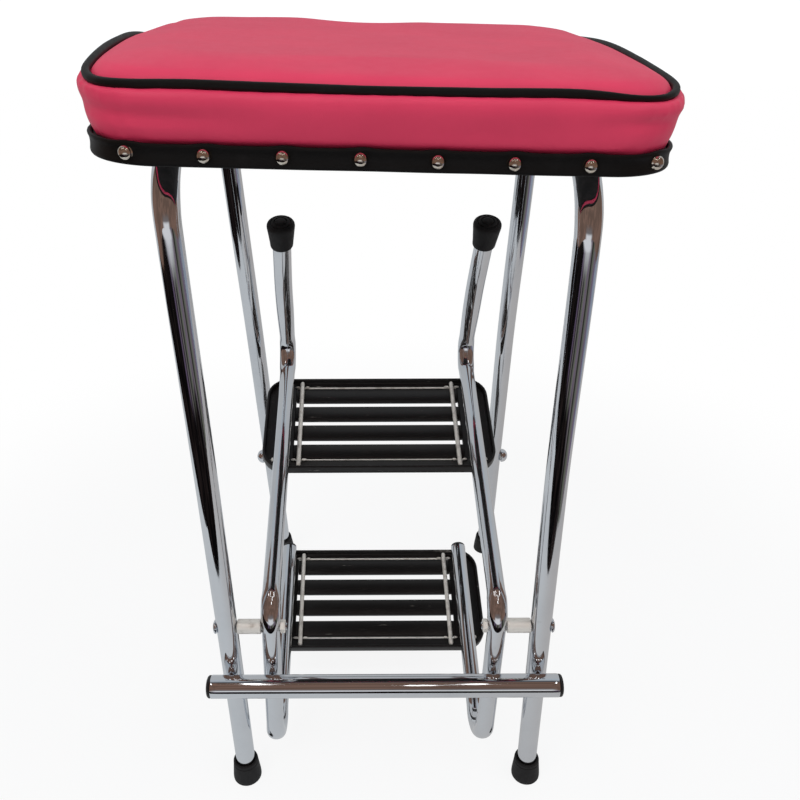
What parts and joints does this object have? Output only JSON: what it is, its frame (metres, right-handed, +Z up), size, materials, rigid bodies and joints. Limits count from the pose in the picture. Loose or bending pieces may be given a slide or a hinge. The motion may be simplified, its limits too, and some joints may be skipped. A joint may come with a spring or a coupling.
{
  "type": "folding step stool chair",
  "caption": "Padded kitchen stool on two bent chrome tube frames, with a pair of slatted treads on bent side tubes that stow under the seat and flip forward to the floor.",
  "frame": {"origin": "middle of the overall outline, on the floor under the feet", "axes": "+Z up; the front, where the treads come down, faces -Y; +X to the right for someone who faces the front"},
  "size_m": [0.3772, 0.4132, 0.655],
  "materials": {
    "chrome": "polished",
    "zinc": "zinc plated, satin",
    "rubber": "matt",
    "black_plastic": "satin",
    "pink_vinyl": "satin vinyl over foam",
    "black_vinyl": "satin vinyl",
    "plywood": "sanded"
  },
  "bodies": {
    "stool": {"crossbar_plug_left": "black_plastic", "crossbar_plug_right": "black_plastic", "foot_front_left": "rubber", "foot_front_right": "rubber", "foot_rear_left": "rubber", "foot_rear_right": "rubber", "front_crossbar": "chrome", "pivot_bolt_left": "zinc", "pivot_bolt_right": "zinc", "pivot_nut_left": "zinc", "pivot_nut_right": "zinc", "pivot_spacer_left": "zinc", "pivot_spacer_right": "zinc", "rear_tie_rod": "zinc", "seat_board": "plywood", "seat_cushion": "pink_vinyl", "seat_piping": "black_vinyl", "seat_screw_front_left": "zinc", "seat_screw_front_right": "zinc", "seat_screw_rear_left": "zinc", "seat_screw_rear_right": "zinc", "seat_trim_band": "black_vinyl", "side_frame_left": "chrome", "side_frame_right": "chrome", "tie_rod_nut_left": "zinc", "tie_rod_nut_right": "zinc"},
    "steps": {"lower_tread_rim": "black_plastic", "lower_tread_rivet_left": "zinc", "lower_tread_rivet_right": "zinc", "lower_tread_rod_left": "zinc", "lower_tread_rod_right": "zinc", "lower_tread_slat_1": "black_plastic", "lower_tread_slat_2": "black_plastic", "lower_tread_slat_3": "black_plastic", "lower_tread_slat_4": "black_plastic", "lower_tread_wire": "zinc", "step_foot_left": "rubber", "step_foot_right": "rubber", "step_tube_left": "chrome", "step_tube_plug_left": "black_plastic", "step_tube_plug_right": "black_plastic", "step_tube_right": "chrome", "upper_tread_rim": "black_plastic", "upper_tread_rivet_left": "zinc", "upper_tread_rivet_right": "zinc", "upper_tread_rod_left": "zinc", "upper_tread_rod_right": "zinc", "upper_tread_slat_1": "black_plastic", "upper_tread_slat_2": "black_plastic", "upper_tread_slat_3": "black_plastic", "upper_tread_slat_4": "black_plastic", "upper_tread_wire": "zinc"}
  },
  "joints": [
    {"name": "steps_flip", "type": "hinge", "parent": "stool", "child": "steps", "pos_m": [0, -0.15478, 0.195], "axis": [1, 0, 0], "range_deg": [0, 158.5]}
  ]
}
